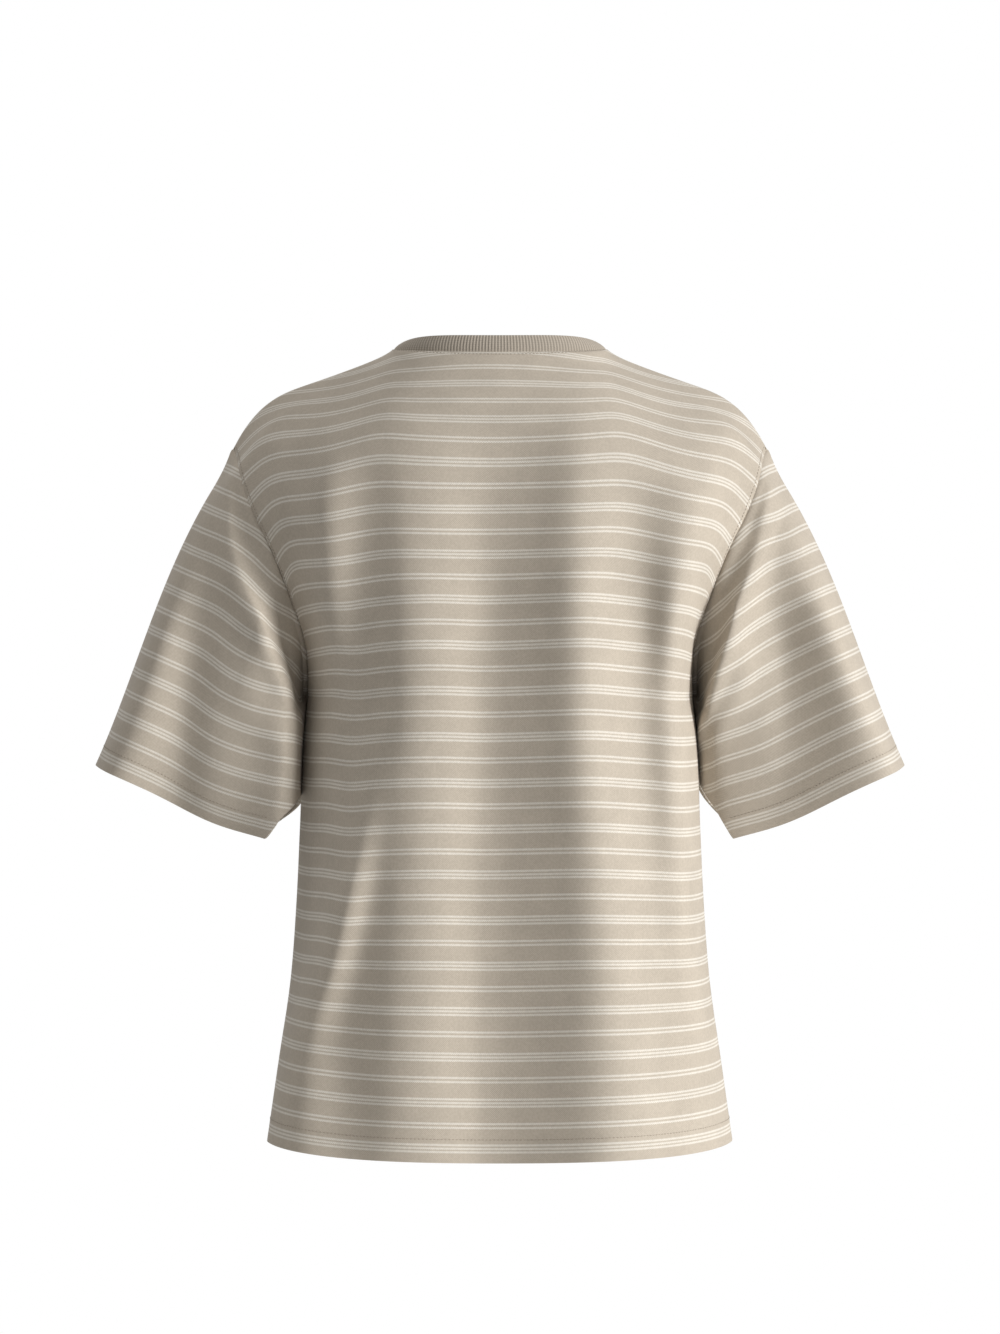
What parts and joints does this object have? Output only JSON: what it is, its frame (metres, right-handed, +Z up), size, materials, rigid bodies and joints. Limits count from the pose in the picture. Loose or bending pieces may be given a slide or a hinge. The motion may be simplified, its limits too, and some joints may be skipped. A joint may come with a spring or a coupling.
{
  "type": "crew neck t-shirt",
  "caption": "Boxy short-sleeved crew neck t-shirt in fine pinstriped jersey with a plain rib neck band, in its worn, hollow form with no wearer.",
  "frame": {"origin": "midway between the two high points of the shoulders, where the wearer holds the garment up", "axes": "+Z up, +X towards the wearer's left sleeve, -Y out of the garment's front and +Y out of its back"},
  "size_m": [0.632, 0.238, 0.63],
  "materials": {
    "jersey": "matte taupe single jersey with fine off-white double and triple pinstripes",
    "rib": "matte plain taupe one-by-one rib"
  },
  "bodies": {
    "root": {"front": "jersey", "back": "jersey", "sleeve_left": "jersey", "sleeve_right": "jersey", "neck_rib": "rib"}
  },
  "joints": []
}
